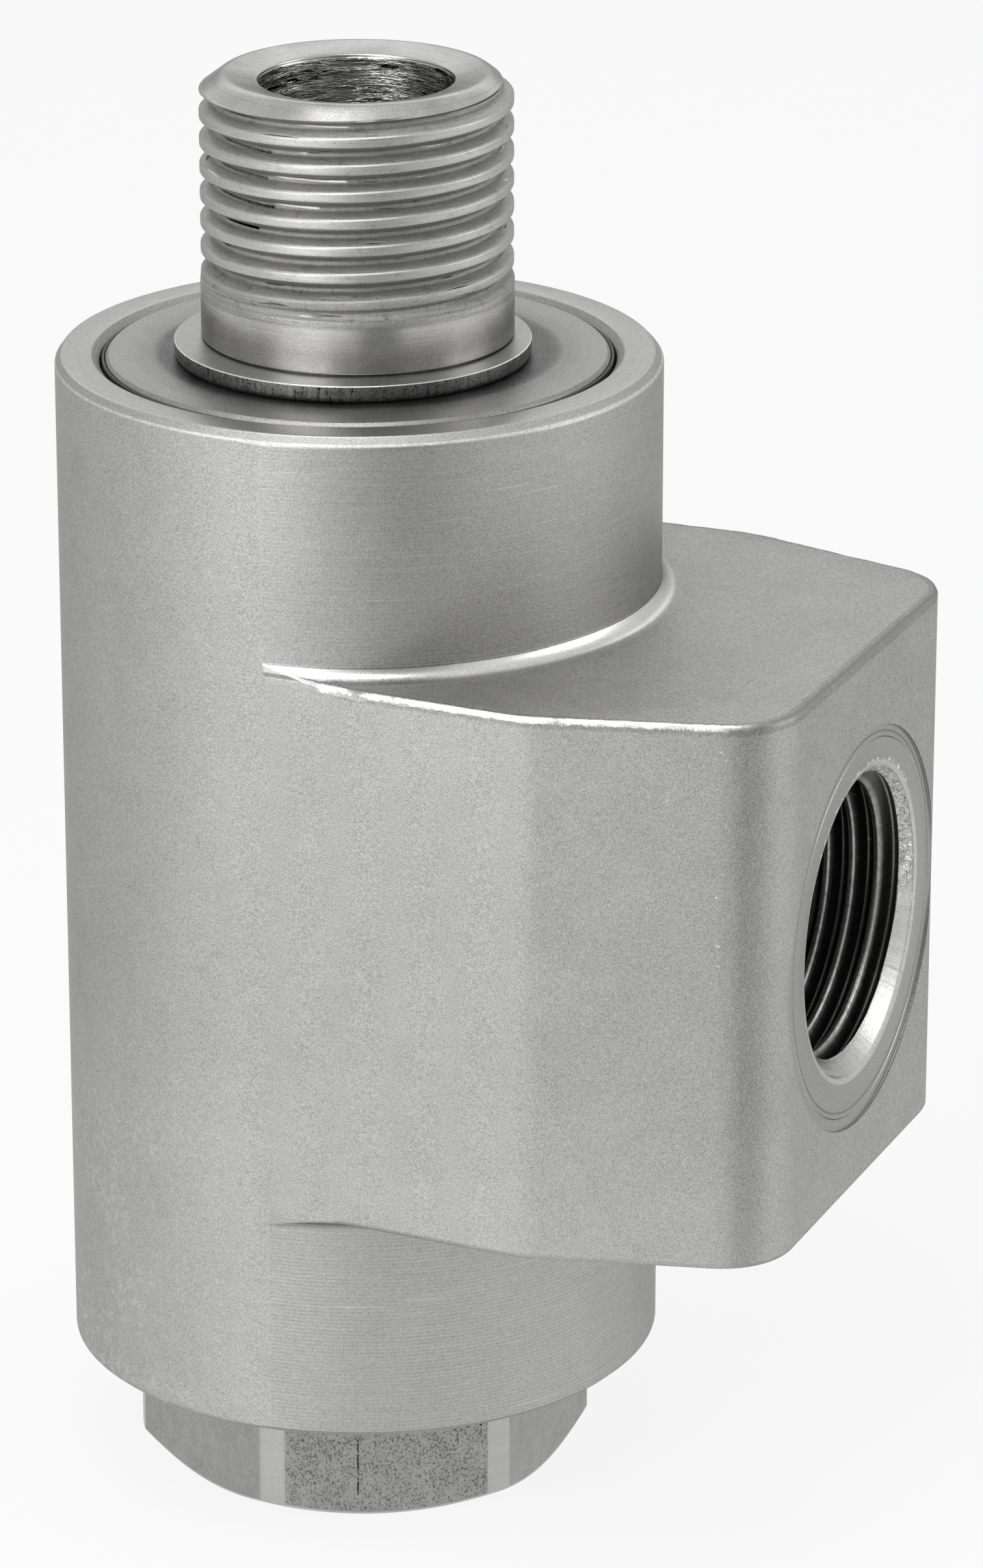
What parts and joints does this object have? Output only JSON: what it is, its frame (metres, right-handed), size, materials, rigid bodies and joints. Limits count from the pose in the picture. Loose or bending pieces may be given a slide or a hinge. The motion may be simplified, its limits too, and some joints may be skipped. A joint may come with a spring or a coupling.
{
  "type": "hydraulic swivel joint",
  "caption": "Right-angle hydraulic swivel joint: a steel barrel with a square side port, a hollow threaded stub that turns on ball bearings, and a hexagon end plug.",
  "frame": {"origin": "centre of the end plug's flat lower face, on the swivel axis", "axes": "+Z along the swivel axis towards the threaded stub, +X out of the side port"},
  "size_m": [0.0568, 0.0416, 0.0986],
  "materials": {
    "housing_steel": "satin, blasted on the turned barrel and milled beside the lug",
    "shaft_steel": "turned, semi-bright",
    "spring_steel": "stamped spring steel, oiled",
    "disc_steel": "turned, fine",
    "bearing_steel": "polished",
    "plug_steel": "darker, pitted",
    "seal_rubber": "matt black",
    "slipper_plastic": "filled low-friction plastic",
    "cage_plastic": "moulded"
  },
  "bodies": {
    "housing_group": {"housing": "housing_steel", "upper_outer_ring": "bearing_steel", "grease_seal": "seal_rubber", "wear_ring": "slipper_plastic", "upper_slipper_seal": "slipper_plastic", "upper_seal_o_ring": "seal_rubber", "upper_backup_ring": "slipper_plastic", "lower_slipper_seal": "slipper_plastic", "lower_seal_o_ring": "seal_rubber", "lower_backup_ring": "slipper_plastic", "lower_outer_ring": "bearing_steel", "wave_spring": "spring_steel", "end_plug": "plug_steel", "end_plug_o_ring": "seal_rubber"},
    "shaft_group": {"shaft": "shaft_steel", "stub_retaining_ring": "spring_steel", "cover_disc": "disc_steel", "dust_seal": "seal_rubber", "upper_inner_ring": "bearing_steel", "lower_inner_ring": "bearing_steel", "shaft_end_snap_ring": "spring_steel"},
    "upper_ball_set": {"upper_balls": "bearing_steel", "upper_ball_cage": "cage_plastic"},
    "lower_ball_set": {"lower_balls": "bearing_steel", "lower_ball_cage": "cage_plastic"}
  },
  "joints": [
    {"name": "stub_swivel", "type": "hinge", "parent": "housing_group", "child": "shaft_group", "pos_m": [0, 0, 0.0795], "axis": [0, 0, 1], "continuous": true},
    {"name": "upper_ball_orbit", "type": "hinge", "parent": "housing_group", "child": "upper_ball_set", "pos_m": [0, 0, 0.07425], "axis": [0, 0, 1], "continuous": true},
    {"name": "lower_ball_orbit", "type": "hinge", "parent": "housing_group", "child": "lower_ball_set", "pos_m": [0, 0, 0.0227], "axis": [0, 0, 1], "continuous": true}
  ],
  "couplings": [
    {"joint": "upper_ball_orbit", "follows": "stub_swivel", "ratio": 0.43518},
    {"joint": "lower_ball_orbit", "follows": "stub_swivel", "ratio": 0.43518}
  ]
}
